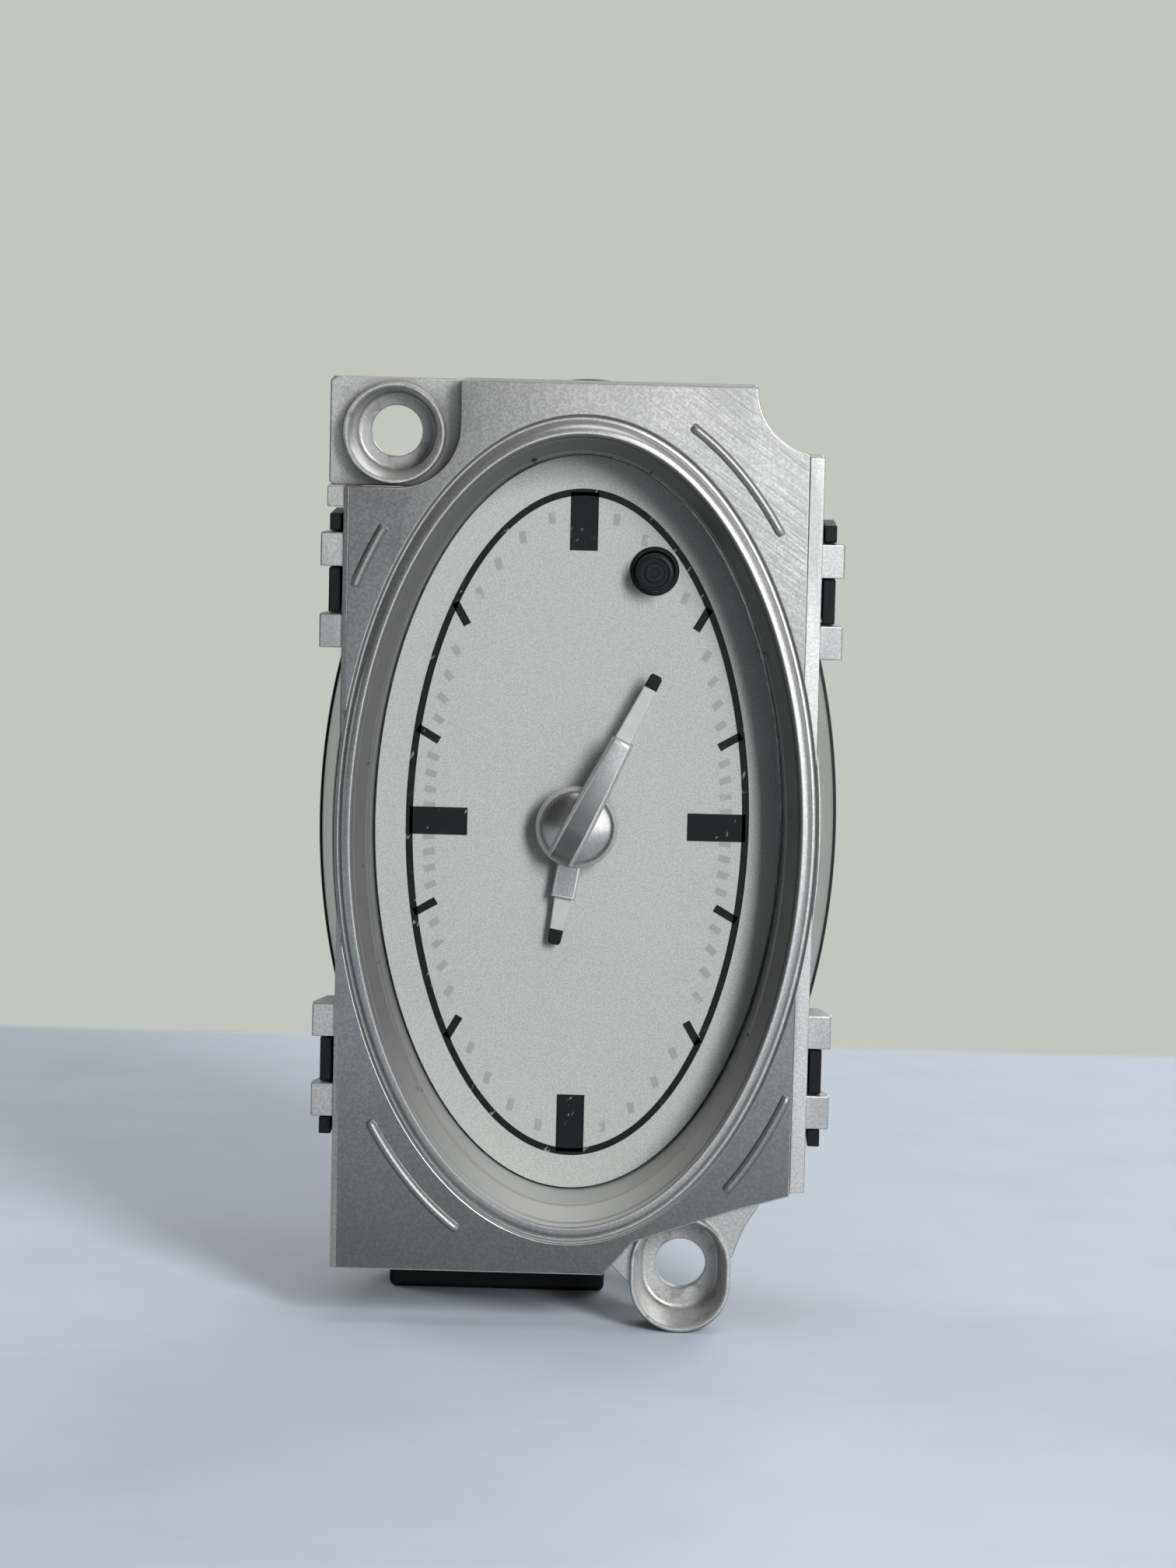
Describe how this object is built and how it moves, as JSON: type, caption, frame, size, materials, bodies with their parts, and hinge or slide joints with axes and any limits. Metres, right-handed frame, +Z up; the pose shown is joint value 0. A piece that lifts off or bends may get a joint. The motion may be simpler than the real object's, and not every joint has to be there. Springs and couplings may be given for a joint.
{
  "type": "oval car dashboard clock",
  "caption": "Oval analogue dashboard clock: silver frame with a beaded oval well, flat dial, geared hands, set button, and a black clipped rear housing with plug and lamps.",
  "frame": {"origin": "On the surface it stands on, below the middle of its width and depth, with the hand arbor above it.", "axes": "+X to the right seen from the front, +Y from the dial towards the back, +Z up along the long side of the oval."},
  "size_m": [0.0562, 0.0372, 0.1022],
  "materials": {
    "silver_frame": "fine-grained silver paint on a moulding",
    "black_housing": "matt black moulded plastic",
    "dial_silver": "pale silver dial paint with black printed marks",
    "clear_acrylic": "clear moulded acrylic",
    "hand_silver": "satin silver metallised plastic",
    "pointer_pale": "pale translucent plastic with a black tip",
    "black_button": "black moulded plastic",
    "switch_body": "black plastic switch body",
    "ivory_plastic": "natural acetal plate",
    "gear_plastic": "natural acetal gear",
    "steel": "bright steel",
    "brass": "turned brass",
    "magnet": "sintered rotor magnet",
    "motor_iron": "soft iron motor plate",
    "bobbin_red": "red bobbin plastic",
    "copper": "enamelled copper wire",
    "board_green": "green solder mask",
    "chip_black": "black chip body",
    "crystal_can": "plated metal can",
    "capacitor_blue": "dark blue capacitor sleeve",
    "holder_grey": "dark grey lamp holder",
    "lamp_glass": "clear lamp glass",
    "pin_gold": "plated connector pin"
  },
  "bodies": {
    "case": {"front_frame": "silver_frame", "rear_housing": "black_housing", "dial": "dial_silver", "light_guide": "clear_acrylic", "button_collar": "black_button", "tact_switch": "switch_body", "centre_tube": "brass", "movement_front_plate": "ivory_plastic", "movement_rear_plate": "ivory_plastic", "movement_screw_1": "steel", "movement_screw_2": "steel", "movement_screw_3": "steel", "movement_screw_4": "steel", "stator": "motor_iron", "coil_core": "motor_iron", "coil_bobbin": "bobbin_red", "coil_winding": "copper", "circuit_board": "board_green", "board_screw_1": "steel", "board_screw_2": "steel", "board_screw_3": "steel", "board_screw_4": "steel", "clock_chip": "chip_black", "quartz_crystal": "crystal_can", "capacitor_1": "capacitor_blue", "capacitor_2": "capacitor_blue", "lamp_holder_1": "holder_grey", "lamp_holder_2": "holder_grey", "lamp_1": "lamp_glass", "lamp_2": "lamp_glass", "plug_header": "black_housing", "connector_pin_1": "pin_gold", "connector_pin_2": "pin_gold", "connector_pin_3": "pin_gold", "connector_pin_4": "pin_gold"},
    "minute_hand": {"minute_cover": "hand_silver", "minute_pointer": "pointer_pale", "minute_arbor": "steel", "centre_wheel": "brass"},
    "hour_hand": {"hour_cover": "hand_silver", "hour_pointer": "pointer_pale", "hour_wheel": "gear_plastic"},
    "motion_gear": {"motion_wheel": "gear_plastic"},
    "intermediate_gear": {"intermediate_wheel": "gear_plastic"},
    "rotor": {"rotor_pinion": "gear_plastic", "rotor_magnet": "magnet"},
    "button": {"set_button": "black_button", "switch_plunger": "switch_body"}
  },
  "joints": [
    {"name": "minute_turn", "type": "hinge", "parent": "case", "child": "minute_hand", "pos_m": [0, -0.0174, 0.05415], "axis": [0, 1, 0], "continuous": true},
    {"name": "hour_turn", "type": "hinge", "parent": "case", "child": "hour_hand", "pos_m": [0, -0.0174, 0.05415], "axis": [0, 1, 0], "continuous": true},
    {"name": "motion_turn", "type": "hinge", "parent": "case", "child": "motion_gear", "pos_m": [0.00424, -0.0174, 0.05839], "axis": [0, 1, 0], "continuous": true},
    {"name": "intermediate_turn", "type": "hinge", "parent": "case", "child": "intermediate_gear", "pos_m": [-0.00516, -0.0174, 0.04678], "axis": [0, 1, 0], "continuous": true},
    {"name": "rotor_turn", "type": "hinge", "parent": "case", "child": "rotor", "pos_m": [-0.00516, -0.0174, 0.03998], "axis": [0, 1, 0], "continuous": true},
    {"name": "button_press", "type": "slide", "parent": "case", "child": "button", "axis": [0, 1, 0], "range_m": [0, 0.0008], "stiffness_N_per_m": 1500}
  ],
  "couplings": [
    {"joint": "hour_turn", "follows": "minute_turn", "ratio": 0.083333},
    {"joint": "motion_turn", "follows": "minute_turn", "ratio": -0.33333},
    {"joint": "intermediate_turn", "follows": "minute_turn", "ratio": -8},
    {"joint": "rotor_turn", "follows": "minute_turn", "ratio": 60}
  ]
}
